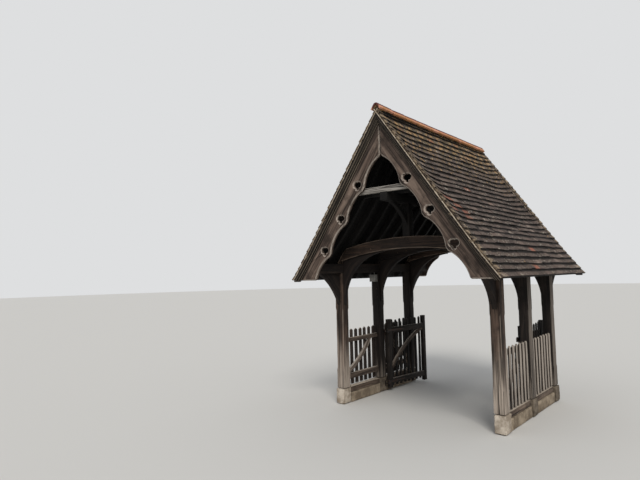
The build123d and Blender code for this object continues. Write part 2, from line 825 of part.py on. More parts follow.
def main():
    os.makedirs("parts", exist_ok=True)
    nodes = {}
    for truss, y in truss_places.items():
        nodes[truss + "_left_post"] = post(-1, y)
        nodes[truss + "_right_post"] = post(1, y)
        nodes[truss + "_tie_beam"] = tie_beam(truss)
    stones = [post_stone(side, y) for side in (-1, 1) for y in truss_places.values()]
    nodes["post_stones"] = Compound(children=stones)
    nodes["kerbs"] = Compound(children=[kerb(side, bay) for side in (-1, 1) for bay in ("front", "rear")])
    for side, word in ((-1, "left"), (1, "right")):
        nodes[word + "_sills"] = Compound(children=[sill(side, "front"), sill(side, "rear")])
        nodes[word + "_wall_plate"] = wall_plate(side)
        for bay in ("front", "rear"):
            nodes[bay + "_" + word + "_fence"] = fence(side, bay)
    nodes["arch_braces"] = arch_braces()
    nodes["eaves_brackets"] = eaves_brackets()
    nodes["crown_posts"] = crown_posts()
    nodes["crown_braces"] = crown_braces()
    nodes["collar_purlin"] = collar_purlin()
    nodes["collars"] = collars()
    nodes["ridge_board"] = ridge_board()
    slopes = {"rafters": rafters(), "roof_boards": roof_boards(), "tile_slope": tile_slope()}
    for word, solid in slopes.items():
        nodes["right_" + word] = solid
        nodes["left_" + word] = mirrored(solid)
    nodes["ridge_tiles"] = ridge_tiles(slopes["tile_slope"])
    board = bargeboard()
    nodes["front_right_bargeboard"] = board
    nodes["front_left_bargeboard"] = mirrored(board)
    nodes["rear_right_bargeboard"] = to_rear(board)
    nodes["rear_left_bargeboard"] = to_rear(mirrored(board))
    nodes["verge_mouldings"] = verge_mouldings()
    leaf = {"gate_leaf": gate_leaf(), "gate_hinges": leaf_hinges()}
    for word, solid in leaf.items():
        nodes["left_" + word] = hung_left(solid)
        nodes["right_" + word] = hung_right(solid)
    right_pintles = pintles()
    nodes["pintles"] = Compound(children=right_pintles + [mirrored(one) for one in right_pintles])
    nodes["junction_box"] = junction_box()
    for name, solid in nodes.items():
        export_step(solid, "parts/" + name + ".step")
    return nodes


main()
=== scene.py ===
import math
import random

import bpy
from mathutils import Matrix, Vector, noise


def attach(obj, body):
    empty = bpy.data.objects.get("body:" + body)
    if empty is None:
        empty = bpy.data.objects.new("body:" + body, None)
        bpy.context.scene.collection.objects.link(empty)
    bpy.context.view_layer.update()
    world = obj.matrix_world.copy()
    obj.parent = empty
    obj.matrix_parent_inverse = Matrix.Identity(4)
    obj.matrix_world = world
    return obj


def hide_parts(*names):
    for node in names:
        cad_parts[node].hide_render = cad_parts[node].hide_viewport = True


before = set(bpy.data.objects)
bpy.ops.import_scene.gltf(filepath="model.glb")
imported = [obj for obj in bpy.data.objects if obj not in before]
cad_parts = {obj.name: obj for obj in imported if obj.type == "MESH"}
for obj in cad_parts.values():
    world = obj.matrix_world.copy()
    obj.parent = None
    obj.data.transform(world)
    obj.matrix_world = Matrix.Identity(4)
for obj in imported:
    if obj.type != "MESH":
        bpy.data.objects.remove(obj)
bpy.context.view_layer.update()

# Lychgate: oak frame, paled sides and gates, plain tiles. All sizes are in metres, as in the frame.
# X runs across the gateway, Y along the ridge with the front gable at -Y, and Z is up.

SIDES = ((-1, "left"), (1, "right"))
ENDS = ((-1, "front"), (1, "rear"))
ALONG_X = (1, 0, 0)
ALONG_Y = (0, 1, 0)
ALONG_Z = (0, 0, 1)

# Roof planes, as the frame has them
PITCH = math.radians(55)
APEX = 4.0648
SLOPE = 2.7146
FLARE_LENGTH = 0.6
FLARE_LIFT = 0.021
FLARE_START = SLOPE - FLARE_LENGTH
FLARE_RADIUS = FLARE_LENGTH ** 2 / (2 * FLARE_LIFT)
ROOF_HALF = 1.65
TILE_LAYER = 0.045
BOARD_LAYER = 0.023
BOARD_BACK = 1.535
BOARD_FRONT = 1.58
MOULDING_FOOT = 1.817
SLOPE_SAG = 0.085
SAG_FADES_OVER = 0.45
SWEEP_END = 1.61
SWEEP_LENGTH = 0.56
RIDGE_STAND = 0.050
RIDGE_REACH = 0.064
RIDGE_END = 1.59
CAP_THICK = 0.026

# Plain tiles
TILE_WIDTH = 0.1644
TILE_LENGTH = 0.265
TILE_THICK = 0.012
TILE_JOINT = 0.003
TILES_ACROSS = 20
WIDE = 1.5
GAUGE = 0.1002
COURSES = 27

# Trusses
TRUSSES = (-0.95, 0.0, 0.95)
OUTER_TIE_FACE = 1.025
POST_X = 1.19
POST_INNER = 1.12
POST_HALF = 0.075
POST_TOP = 1.93
TIE_HALF_LENGTH = 1.2
COLLARS_PART = 1.4

# Feet
SILL_TOP = 0.23
KERB_TOP = 0.15
STONE_OUTER = 1.28
KERB_OUTER = 1.26
STONE_HALF = 0.095
SILL_HALF = 0.055
SILL_BAYS = ((-0.855, -0.095), (0.095, 0.855))

# Gate leaves
PIVOT_X = 1.05
PIVOT_Y = 0.045
LEFT_OPEN = math.radians(84)
RIGHT_OPEN = math.radians(-88)

# Meshes: points that are merged, and faces that count as one
WELD = 0.00005
FLAT = math.radians(0.8)

dice = random.Random(1904)


# Working with pieces

def only(*pieces):
    """Selects these pieces alone, with the first one active."""
    bpy.ops.object.select_all(action="DESELECT")
    for piece in pieces:
        piece.select_set(True)
    bpy.context.view_layer.objects.active = pieces[0]


def edit(piece):
    """Opens one piece in edit mode with all of it selected."""
    only(piece)
    bpy.ops.object.mode_set(mode="EDIT")
    bpy.ops.mesh.select_mode(type="VERT")
    bpy.ops.mesh.select_all(action="SELECT")


def close():
    """Goes back to object mode."""
    bpy.ops.object.mode_set(mode="OBJECT")


def pick(piece, kind, wanted, angle=None):
    """Opens a piece with only those faces or edges selected whose corners are wanted.

    With an angle, only the edges that are sharper than it are asked about.
    """
    edit(piece)
    bpy.ops.mesh.select_mode(type=kind)
    bpy.ops.mesh.select_all(action="DESELECT")
    if angle:
        bpy.ops.mesh.edges_select_sharp(sharpness=math.radians(angle))
    close()
    spots = [point.co for point in piece.data.vertices]
    parts = piece.data.polygons if kind == "FACE" else piece.data.edges
    chosen = []
    for part in parts:
        asked = part.select or not angle
        chosen.append(asked and wanted([spots[number] for number in part.vertices]))
    parts.foreach_set("select", chosen)
    bpy.ops.object.mode_set(mode="EDIT")


def round_arrises(angle, width, segments=2, clamp=False):
    """In edit mode, rounds the arrises that are sharper than an angle."""
    bpy.ops.mesh.select_mode(type="EDGE")
    bpy.ops.mesh.select_all(action="DESELECT")
    bpy.ops.mesh.edges_select_sharp(sharpness=math.radians(angle))
    bpy.ops.mesh.bevel(offset=width, segments=segments, clamp_overlap=clamp)


def bevel_all(piece, width, segments=2):
    """Rounds every arris of a piece."""
    edit(piece)
    bpy.ops.mesh.bevel(offset=width, segments=segments)
    close()


def divide(piece):
    """Divides the faces of a piece, so that wear can shape them."""
    edit(piece)
    bpy.ops.mesh.subdivide(number_cuts=3)
    close()


def cut_ring(place, normal):
    """In edit mode, cuts a ring round a piece."""
    bpy.ops.mesh.select_all(action="SELECT")
    bpy.ops.mesh.bisect(plane_co=place, plane_no=normal)


def join(pieces, name):
    """Joins pieces into one mesh with a name."""
    only(*pieces)
    bpy.ops.object.join()
    whole = bpy.context.active_object
    whole.name = name
    whole.data.name = name
    return whole


def fresh(name):
    """The primitive that was just added, with a name and with its place in its mesh."""
    piece = bpy.context.active_object
    piece.name = name
    only(piece)
    bpy.ops.object.transform_apply(location=True, rotation=True, scale=True)
    return piece


def baulk(name, low, high, edge=0.004, segments=2):
    """A squared timber between two corners, its arrises worn round."""
    low = Vector(low)
    high = Vector(high)
    size = [abs(reach) for reach in high - low]
    bpy.ops.mesh.primitive_cube_add(size=1, location=(low + high) / 2, scale=size)
    piece = fresh(name)
    if edge:
        bevel_all(piece, edge, segments)
    return piece


def saw(piece, place, normal):
    """Saws a piece through and takes away what lies on the side that the normal points to."""
    edit(piece)
    bpy.ops.mesh.bisect(plane_co=place, plane_no=normal, clear_outer=True, use_fill=True)
    close()


def slice_up(piece, way, low, high, step):
    """Cuts rings round a long piece, so that its faces can follow small hollows."""
    edit(piece)
    for number in range(1, int((high - low) / step)):
        cut_ring(Vector(way) * (low + number * step), way)
    close()


def wear(piece, depth, size, detail=2):
    """Hollows a surface inwards by noise, no deeper than the depth."""
    cloud = bpy.data.textures.new(piece.name + "_wear", "CLOUDS")
    cloud.noise_scale = size
    cloud.noise_depth = detail
    only(piece)
    worn = piece.modifiers.new("worn", "DISPLACE")
    worn.texture = cloud
    worn.texture_coords = "LOCAL"
    worn.strength = depth
    worn.mid_level = 1.0
    bpy.ops.object.modifier_apply(modifier=worn.name)


def from_frame(node, edge=0.004, segments=2, name=None):
    """A merged copy of a piece of the frame, its flat faces made whole and its arrises worn."""
    name = name or node + "_worn"
    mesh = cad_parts[node].data.copy()
    piece = bpy.data.objects.new(name, mesh)
    bpy.context.collection.objects.link(piece)
    mesh.name = name
    mesh.materials.clear()
    edit(piece)
    bpy.ops.mesh.remove_doubles(threshold=WELD)
    bpy.ops.mesh.dissolve_limited(angle_limit=FLAT)
    if edge:
        round_arrises(24, edge, segments, True)
    close()
    return piece


def put_values(mesh, name, values):
    """Stores a number for each point of a mesh, which a finish reads."""
    store = mesh.attributes.new(name, "FLOAT", "POINT")
    store.data.foreach_set("value", values)


def put_tone(mesh, tone):
    """Stores one tone for a whole mesh."""
    put_values(mesh, "tone", [tone] * len(mesh.vertices))


def put_grain(piece, in_grain):
    """Stores where each point lies in the grain of its timber: along it, and twice across it."""
    values = []
    for point in piece.data.vertices:
        values += in_grain(point.co)
    store = piece.data.attributes.new("grain", "FLOAT_VECTOR", "POINT")
    store.data.foreach_set("vector", values)


def grain(piece, along):
    """Stores the grain of a straight timber, each with a stretch of its own."""
    along = Vector(along).normalized()
    flat = Vector(ALONG_Y if abs(along.y) < 0.9 else ALONG_X)
    second = along.cross(flat).normalized()
    third = along.cross(second)
    shift = dice.uniform(0, 40)
    put_grain(piece, lambda spot: (spot.dot(along) + shift, spot.dot(second) + shift * 0.37,
                                   spot.dot(third)))


def placed(model, matrix, tone=None):
    """A copy of a model with its own mesh, moved to its place in it.

    A tile that is cut short keeps only its share of the length that "along" tells.
    """
    mesh = model.data.copy()
    mesh.transform(matrix)
    if tone is not None:
        put_tone(mesh, tone)
    store = mesh.attributes.get("along")
    if store:
        share = matrix.to_scale().y
        store.data.foreach_set("value", [point.value * share for point in store.data])
    copy = bpy.data.objects.new(model.name + "_laid", mesh)
    bpy.context.collection.objects.link(copy)
    return copy


def lay(model, places, name):
    """Copies of a model at each (place, tone), joined into one piece. The model goes."""
    whole = join([placed(model, matrix, tone) for matrix, tone in places], name)
    bpy.data.objects.remove(model)
    return whole


def done(piece, finish, body="frame", stands_for=()):
    """Gives a piece its finish, smooth round surfaces and the body that carries it."""
    piece.data.materials.clear()
    piece.data.materials.append(finish)
    only(piece)
    bpy.ops.object.shade_smooth_by_angle(angle=math.radians(32))
    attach(piece, body)
    if stands_for:
        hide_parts(*stands_for)


def swept(name, start, end, bow, depth, width, normal):
    """A curved timber: its end section spun about the centre of an arc from start to end."""
    start = Vector(start)
    end = Vector(end)
    normal = Vector(normal)
    chord = end - start
    side = normal.cross(chord).normalized()
    radius = (chord.length ** 2 / 4 + bow ** 2) / (2 * bow)
    centre = (start + end) / 2 + side * (bow - radius)
    angle = 2 * math.asin(chord.length / (2 * radius))
    outward = (start - centre).normalized()
    onward = normal.cross(outward)
    if onward.dot(chord) < 0:
        onward = -onward
        angle = -angle
    bpy.ops.mesh.primitive_plane_add(size=1)
    piece = fresh(name)
    axes = Matrix((outward * depth, normal * width, onward)).transposed().to_4x4()
    piece.data.transform(Matrix.Translation(start) @ axes)
    edit(piece)
    bpy.ops.mesh.spin(steps=10, angle=-angle, center=centre, axis=normal)
    bpy.ops.mesh.select_all(action="SELECT")
    bpy.ops.mesh.remove_doubles(threshold=WELD)
    bpy.ops.mesh.select_all(action="DESELECT")
    bpy.ops.mesh.select_non_manifold(extend=False)
    bpy.ops.mesh.fill_holes(sides=4)
    bpy.ops.mesh.select_all(action="SELECT")
    bpy.ops.mesh.normals_make_consistent(inside=False)
    round_arrises(40, 0.003)
    close()

    def in_arc(spot):
        arm = spot - centre
        turned = math.atan2(arm.dot(onward), arm.dot(outward))
        return turned * radius + 3, arm.length, spot.dot(normal)

    put_grain(piece, in_arc)
    return piece


# Finishes

def tint(red, green, blue):
    """A colour from its eight-bit parts."""
    parts = []
    for part in (red, green, blue):
        part /= 255
        parts.append(part / 12.92 if part <= 0.04045 else ((part + 0.055) / 1.055) ** 2.4)
    return (*parts, 1)


def new_finish(name, roughness=0.85, specular=0.3):
    """A material, its plain shader and the coordinates that its patterns read."""
    finish = bpy.data.materials.new(name)
    finish.use_nodes = True
    shader = finish.node_tree.nodes["Principled BSDF"]
    shader.inputs["Roughness"].default_value = roughness
    shader.inputs["Specular IOR Level"].default_value = specular
    return finish, shader, add(finish.node_tree, "TexCoord").outputs


def add(tree, kind, inputs=None, **settings):
    """A node of a kind, with settings, values and links."""
    node = tree.nodes.new("ShaderNode" + kind)
    for key, value in settings.items():
        setattr(node, key, value)
    for key, value in (inputs or {}).items():
        if isinstance(value, bpy.types.NodeSocket):
            tree.links.new(value, node.inputs[key])
        else:
            node.inputs[key].default_value = value
    return node


def stored(shader, name, output="Fac"):
    """What is stored on the points of a mesh."""
    return add(shader.id_data, "Attribute", attribute_name=name).outputs[output]


def stretched(coords, scale, shift=(0, 0, 0)):
    """Coordinates scaled and moved."""
    settings = {"Vector": coords, "Scale": scale, "Location": shift}
    return add(coords.id_data, "Mapping", settings).outputs[0]


def cloudy(coords, scale, detail=4, rough=0.55, distortion=0.0):
    """Noise between 0 and 1."""
    settings = {"Vector": coords, "Scale": scale, "Detail": detail, "Roughness": rough,
                "Distortion": distortion}
    return add(coords.id_data, "TexNoise", settings).outputs[0]


def spotty(coords, scale):
    """Distances from scattered points."""
    settings = {"Vector": coords, "Scale": scale, "Randomness": 1.0}
    return add(coords.id_data, "TexVoronoi", settings).outputs["Distance"]


def band(value, low, high, bottom=0.0, top=1.0):
    """A value carried from a low to a high mark, held at both ends."""
    marks = {"Value": value, "From Min": low, "From Max": high, "To Min": bottom, "To Max": top}
    return add(value.id_data, "MapRange", marks, interpolation_type="SMOOTHSTEP").outputs[0]


def sums(operation, first, second=0.0):
    """Two values put together by one operation."""
    return add(first.id_data, "Math", {0: first, 1: second}, operation=operation).outputs[0]


def times(first, second):
    """The product of two values."""
    return sums("MULTIPLY", first, second)


def mixed(factor, first, second):
    """Two colours mixed by a factor, each from a socket or from its eight-bit parts."""
    ends = [tint(*colour) if isinstance(colour, tuple) else colour for colour in (first, second)]
    inputs = {0: factor, 6: ends[0], 7: ends[1]}
    return add(factor.id_data, "Mix", inputs, data_type="RGBA").outputs[2]


def split(vector):
    """The three parts of a vector."""
    return add(vector.id_data, "SeparateXYZ", {0: vector}).outputs


def feed(shader, socket, value):
    """Links a value to a socket of the shader."""
    shader.id_data.links.new(value, shader.inputs[socket])


def coat(shader, colour, height=None, distance=0.0, strength=0.5):
    """Gives a shader its colour, and bump from a height."""
    feed(shader, "Base Color", colour)
    if height:
        inputs = {"Height": height, "Distance": distance, "Strength": strength}
        feed(shader, "Normal", add(shader.id_data, "Bump", inputs).outputs[0])


def oak(name, dark, middle, light, bleached, upward=0.5, foot=None, edges=0.0, top_shade=None,
        crack=0.8, outward=0.0):
    """Weathered oak: fibres, broad figure, cracks, and paler top faces, cut edges and feet.

    Top faces, cut edges and outward faces are paler partly from bleaching and partly from painted
    light. foot is the (top, bottom) height over which rain splash has bleached it. top_shade is the
    (start, end) across the grain over which it lightens from the painted shade under a moulding.
    outward is how far the faces that look away from the gateway have paled, by bleaching and by
    painted light.
    """
    finish, shader, coords = new_finish(name)
    fibre_way = stored(shader, "grain", "Vector")
    place = split(coords["Object"])
    facing = split(coords["Normal"])
    fibres = cloudy(stretched(fibre_way, (1.8, 58, 58)), 1, 6, 0.66, 0.25)
    figure = cloudy(stretched(fibre_way, (1.1, 13, 13)), 1, 5, 0.62, 0.7)
    blotch = cloudy(coords["Object"], 4.3, 5, 0.65)
    colour = mixed(band(fibres, 0.38, 0.62), dark, middle)
    colour = mixed(band(figure, 0.46, 0.68), colour, light)
    colour = mixed(band(blotch, 0.52, 0.30, 0, 0.75), colour, dark)
    # Top faces turn grey: partly bleaching, partly painted light from the sky.
    rising = sums("ADD", facing[2], times(fibres, 0.5))
    grey = band(rising, 0.75, 1.2, 0, upward)
    if foot:
        streaks = cloudy(stretched(fibre_way, (0.7, 26, 26), (3, 8, 6)), 1, 4, 0.6, 0.3)
        ragged = sums("ADD", place[2], times(streaks, 1.5))
        grey = sums("MAXIMUM", grey, band(ragged, foot[0] + 0.75, foot[1] + 0.75))
    # Chamfers and cut edges turn paler: partly wear, partly painted highlight.
    if edges:
        sideways = sums("ABSOLUTE", facing[1])
        worn = sums("MINIMUM", band(sideways, 0.30, 0.5), band(sideways, 0.95, 0.80))
        grey = sums("MAXIMUM", grey, times(worn, edges))
    # Faces that look away from the gateway turn paler: partly bleaching, partly painted light.
    if outward:
        away = times(place[0], facing[0])
        grey = sums("MAXIMUM", grey, band(away, 0.6, 1.1, 0, outward))
    grey = times(grey, band(fibres, 0.36, 0.60, 0.35, 1.0))
    colour = mixed(grey, colour, bleached)
    # Painted shade: the band of the board next to its moulding is darkened, where the moulding shades
    # it.
    if top_shade:
        shade = band(split(fibre_way)[1], top_shade[0], top_shade[1], 0.9, 0.0)
        colour = mixed(shade, colour, dark)
    splits = cloudy(stretched(fibre_way, (0.9, 34, 34), (5, 2, 1)), 1, 3, 0.45, 0.2)
    crevice = band(splits, 0.40, 0.33, 0, crack)
    colour = mixed(crevice, colour, (14, 11, 9))
    height = sums("SUBTRACT", times(fibres, 0.5), crevice)
    coat(shader, colour, height, 0.004, 0.8)
    return finish


def clay_tile_finish():
    """Old plain tiles: brown clay of many tones, stains, moss near the ridge, lichen, and painted
    shadow along the tails.
    """
    finish, shader, coords = new_finish("clay_tiles", 0.9, 0.2)
    facing = split(coords["Normal"])
    coords = coords["Object"]
    place = split(coords)
    along = stored(shader, "along")
    ramp = add(shader.id_data, "ValToRGB", {0: stored(shader, "tone")})
    stops = ramp.color_ramp.elements
    stops[0].color = tint(60, 52, 49)
    stops[1].color = tint(148, 92, 74)
    for mark, clay in ((0.3, (82, 71, 66)), (0.55, (96, 82, 75)), (0.72, (124, 110, 101)),
                       (0.86, (112, 84, 71)), (0.93, (130, 84, 68))):
        stops.new(mark).color = tint(*clay)
    stains = cloudy(coords, 2.6, 5, 0.62)
    grit = cloudy(coords, 55, 5, 0.72)
    colour = mixed(band(stains, 0.44, 0.66, 0, 0.6), ramp.outputs[0], (52, 45, 42))
    colour = mixed(band(grit, 0.45, 0.68, 0, 0.55), colour, (126, 110, 100))

    near_ridge = band(place[2], 2.8, 3.95)
    from_middle = sums("ABSOLUTE", place[1])
    verge = band(from_middle, 1.48, 1.62)
    moss_noise = cloudy(coords, 17, 5, 0.7)
    moss_where = times(sums("MAXIMUM", near_ridge, verge), 0.18)
    moss = band(sums("ADD", moss_noise, moss_where), 0.61, 0.70, 0, 0.85)
    ochre = band(cloudy(coords, 9, 3), 0.44, 0.58)
    moss_tint = mixed(ochre, (100, 88, 62), (172, 138, 94))
    moss_tint = mixed(verge, moss_tint, (146, 128, 104))
    colour = mixed(moss, colour, moss_tint)

    patch = cloudy(coords, 6, 3, 0.5)
    lichen = times(band(spotty(coords, 26), 0.26, 0.18), band(patch, 0.47, 0.57))
    flecks = times(band(spotty(coords, 48), 0.27, 0.18), band(along, 0.24, 0.10))
    lichen = sums("MAXIMUM", lichen, times(flecks, band(patch, 0.40, 0.54)))
    blots = cloudy(stretched(coords, (14, 8, 14), (3, 1, 7)), 1, 4, 0.62)
    lichen = sums("MAXIMUM", lichen, band(blots, 0.66, 0.71))
    crust = sums("ADD", grit, times(verge, 0.08))
    lichen = sums("MAXIMUM", lichen, times(verge, band(crust, 0.66, 0.72)))
    colour = mixed(times(lichen, 0.85), colour, (182, 174, 158))

    # Painted shadow: each tile's tail, and the top of its exposed face just under the tail of the
    # course above, are darkened to near black.
    tail = band(along, 0.05, 0.01)
    ragged = sums("ADD", along, times(grit, 0.10))
    tail_shadow = sums("MAXIMUM", tail, band(ragged, 0.26, 0.35))
    colour = mixed(times(tail_shadow, 0.95), colour, (15, 12, 10))
    edge = band(sums("ABSOLUTE", facing[1]), 0.5, 0.8)
    outermost = band(from_middle, 1.630, 1.638, 0, 0.7)
    crusted = mixed(band(moss_noise, 0.42, 0.60), (62, 50, 42), (140, 122, 100))
    colour = mixed(times(edge, outermost), colour, crusted)
    height = sums("ADD", times(grit, 0.5), sums("ADD", moss, lichen))
    coat(shader, colour, height, 0.003, 0.7)
    return finish


def ridge_clay_finish():
    """Ridge tiles of faded clay, dark along the crown, with stains and a little moss."""
    finish, shader, coords = new_finish("ridge_clay", 0.85, 0.25)
    stains = cloudy(coords["Object"], 6, 6, 0.7)
    grit = cloudy(coords["Object"], 90, 4, 0.6)
    aside = sums("ABSOLUTE", split(coords["Object"])[0])
    moss = sums("ADD", stains, band(aside, 0.045, 0.078, 0, 0.10))
    crown = sums("ADD", aside, times(stains, 0.012))
    colour = mixed(stored(shader, "tone"), (184, 122, 98), (210, 152, 126))
    colour = mixed(band(moss, 0.47, 0.62, 0, 0.8), colour, (166, 116, 62))
    colour = mixed(band(grit, 0.45, 0.7, 0, 0.35), colour, (196, 156, 130))
    colour = mixed(band(crown, 0.060, 0.052, 0, 0.94), colour, (80, 42, 40))
    coat(shader, colour, grit, 0.002)
    return finish


def stony(name, dark, light, spots, scale, bump):
    """Stone or mortar: mottled, gritty and pitted."""
    finish, shader, coords = new_finish(name, 0.92, 0.2)
    mottle = cloudy(coords["Object"], scale, 6, 0.65)
    grit = cloudy(coords["Object"], scale * 9, 5, 0.7)
    colour = mixed(band(mottle, 0.35, 0.65), dark, light)
    colour = mixed(band(grit, 0.55, 0.68, 0, 0.6), colour, spots)
    coat(shader, colour, sums("ADD", mottle, times(grit, 0.6)), bump, 0.7)
    return finish


def iron_finish():
    """Old black iron with rust in its hollows."""
    finish, shader, coords = new_finish("old_iron", 0.6, 0.5)
    rust = cloudy(coords["Object"], 38, 6, 0.65)
    fine = cloudy(coords["Object"], 160, 4, 0.6)
    colour = mixed(band(rust, 0.48, 0.62), (38, 35, 33), (84, 52, 36))
    feed(shader, "Roughness", band(rust, 0.4, 0.65, 0.45, 0.85))
    shader.inputs["Metallic"].default_value = 0.4
    coat(shader, colour, sums("ADD", rust, fine), 0.001)
    return finish


def plastic_finish():
    """Weathered grey plastic."""
    finish, shader, coords = new_finish("grey_plastic", 0.5, 0.4)
    dust = cloudy(coords["Object"], 20, 5, 0.6)
    feed(shader, "Roughness", band(dust, 0.3, 0.7, 0.42, 0.62))
    coat(shader, mixed(band(dust, 0.4, 0.7), (116, 114, 110), (146, 143, 137)))
    return finish


POST_OAK = oak(
    "post_oak", (26, 20, 17), (68, 54, 45), (94, 77, 66), (182, 168, 154),
    upward=0.4, foot=(1.1, 0.3), edges=0.4)
SHADED_POST_OAK = oak(
    "shaded_post_oak", (14, 11, 9), (34, 27, 23), (48, 40, 35), (142, 131, 120),
    upward=0.4, foot=(0.55, 0.0), outward=0.65)
# Painted shade: dark oak for the frame under the roof (wall plates, arch braces, brackets and middle
# tie), darkened for the shade there.
SHADE_PAINTED_FRAME_OAK = oak("frame_oak", (17, 13, 12), (36, 28, 24), (48, 39, 33), (92, 80, 70), upward=0.3)
# Painted shade: near-black oak for the timbers under the roof, darkened to stand for the shade there.
SHADE_PAINTED_INNER_OAK = oak("inner_oak_painted_shade", (8, 7, 6), (17, 14, 12), (24, 20, 17), (38, 33, 29), upward=0.2)
BEAM_OAK = oak("beam_oak", (25, 19, 15), (54, 41, 33), (75, 58, 47), (150, 132, 116), edges=0.5)
BOARD_OAK = oak(
    "bargeboard_oak", (40, 32, 27), (92, 77, 68), (124, 107, 95), (186, 174, 162),
    edges=0.75, top_shade=(0.11, 0.17))
# Painted shade: the verge mouldings are darkened for the shade under the verge, and the edge mask
# paints highlights on their rolls.
MOULDING_OAK_PAINTED_SHADE = oak(
    "moulding_oak_painted_shade", (17, 13, 11), (37, 30, 26), (54, 45, 39), (158, 144, 124),
    upward=0.8, edges=0.75)
COLLAR_OAK = oak(
    "weathered_collar", (70, 65, 60), (142, 136, 129), (166, 160, 152), (205, 199, 190),
    upward=0.9, crack=0.9)
FENCE_OAK = oak(
    "fence_oak", (28, 23, 20), (60, 50, 44), (84, 73, 65), (190, 178, 165),
    upward=0.9, outward=0.92)
RAIL_OAK = oak("rail_oak", (44, 36, 31), (92, 79, 69), (120, 106, 94), (196, 184, 170), upward=1.0)
BRACE_OAK = oak(
    "brace_oak", (60, 51, 45), (128, 115, 104), (156, 143, 131), (200, 190, 178),
    upward=0.9)
GATE_OAK = oak("gate_oak", (22, 19, 17), (44, 38, 34), (60, 53, 48), (146, 138, 128), upward=1.0)
SHADED_GATE_OAK = oak(
    "shaded_gate_oak", (13, 11, 10), (28, 24, 22), (40, 35, 31), (100, 93, 86),
    upward=0.8)
SILL_OAK = oak("sill_oak", (54, 44, 37), (98, 83, 71), (124, 108, 94), (190, 177, 160), upward=1.0)
# Painted shade: the roof boards, seen from below, are near black for the shade under the roof.
PAINTED_SHADE_BOARDING = oak("boarding_painted_shade", (5, 4, 4), (10, 8, 7), (14, 12, 10), (20, 17, 15), upward=0.0)
TILE_CLAY = clay_tile_finish()
RIDGE_CLAY = ridge_clay_finish()
RIDGE_BED = stony("ridge_bed", (96, 76, 50), (172, 136, 88), (190, 160, 118), 18, 0.005)
MORTAR = stony("lime_mortar", (46, 38, 32), (104, 90, 74), (190, 178, 158), 22, 0.005)
LIME_EDGE = stony("lime_edge", (128, 114, 96), (206, 192, 172), (226, 218, 204), 14, 0.004)
PALE_STONE = stony("pale_stone", (150, 136, 120), (208, 196, 180), (112, 102, 90), 8, 0.010)
SHADED_STONE = stony("shaded_stone", (84, 75, 65), (130, 118, 103), (70, 62, 54), 8, 0.010)
KERB_STONE = stony("kerb_stone", (112, 99, 83), (164, 149, 129), (88, 79, 69), 6, 0.008)
IRON = iron_finish()
GREY_PLASTIC = plastic_finish()


# Roof

def on_roof(run, depth, y, side, tilt=0.0, twist=0.0):
    """The place of something at a run down a slope and a depth below its face.

    Its Y points up the slope and its Z outwards.
    """
    straight = min(run, FLARE_START)
    x = straight * math.cos(PITCH) - depth * math.sin(PITCH)
    z = APEX - straight * math.sin(PITCH) - depth * math.cos(PITCH)
    steep = PITCH
    if run > FLARE_START:
        turn = (run - FLARE_START) / FLARE_RADIUS
        radius = FLARE_RADIUS + depth
        steep = PITCH - turn
        x += radius * (math.sin(PITCH) - math.sin(steep))
        z += radius * (math.cos(PITCH) - math.cos(steep))
    up = Vector((-side * math.cos(steep), 0, math.sin(steep)))
    out = Vector((side * math.sin(steep), 0, math.cos(steep)))
    axes = Matrix((up.cross(out), up, out)).transposed().to_4x4()
    turned = axes @ Matrix.Rotation(twist, 4, "Z") @ Matrix.Rotation(tilt, 4, "X")
    return Matrix.Translation((side * x, y, z)) @ turned


def run_and_depth(spot):
    """How far a point lies from the apex down its slope, and how far below the face of the tiles."""
    run = abs(spot.x) * math.cos(PITCH) + (APEX - spot.z) * math.sin(PITCH)
    depth = (APEX - spot.z) * math.cos(PITCH) - abs(spot.x) * math.sin(PITCH)
    return run, depth + max(run - FLARE_START, 0) ** 2 / (2 * FLARE_RADIUS)


def dip(run):
    """How far a slope sags at a run from the apex, in the middle of the roof."""
    part = min(max(run / FLARE_START, 0), 1)
    return SLOPE_SAG * 4 * part * (1 - part)


def sag(y, run):
    """How far the tiles lie below the plane of the verges, which they sweep up to."""
    inward = min(max((SWEEP_END - abs(y)) / SWEEP_LENGTH, 0), 1)
    wave = noise.noise(Vector((y * 1.4, run * 1.1, 3.0)))
    return dip(run) * (1 - (1 - inward) ** 2) + 0.003 * (wave + 0.6)


def lean(y, run, along=0.0, down=0.0):
    """How steeply the sag turns a tile, over a small step along its course or down the slope."""
    change = sag(y + along, run + down) - sag(y - along, run - down)
    return math.atan(change / (2 * (along + down)))


def sink(piece):
    """Lowers the points of a straight piece of roof to the sag of its slope."""
    for point in piece.data.vertices:
        share = min(max((BOARD_BACK - abs(point.co.y)) / SAG_FADES_OVER, 0), 1)
        down = dip(run_and_depth(point.co)[0]) * share
        point.co.x -= math.copysign(math.sin(PITCH), point.co.x) * down
        point.co.z -= math.cos(PITCH) * down


def plain_tile(name, width):
    """A hand-made plain tile, cambered both ways, its tail at the origin and its face up."""
    camber = 0.0035
    cross_camber = 0.0016
    tile = baulk(name, (-width / 2, 0, -TILE_THICK), (width / 2, TILE_LENGTH, 0), 0)
    edit(tile)
    for y in (0.04, 0.1, 0.18):
        cut_ring((0, y, 0), ALONG_Y)
    for x in (-width / 4, width / 4):
        cut_ring((x, 0, 0), ALONG_X)
    close()
    put_values(tile.data, "along", [point.co.y / TILE_LENGTH for point in tile.data.vertices])
    for point in tile.data.vertices:
        point.co.z -= camber * (point.co.y / TILE_LENGTH * 2 - 0.6) ** 2
        point.co.z -= cross_camber * (point.co.x / width * 2) ** 2
    edit(tile)
    round_arrises(50, 0.0015, 1)
    close()
    return tile


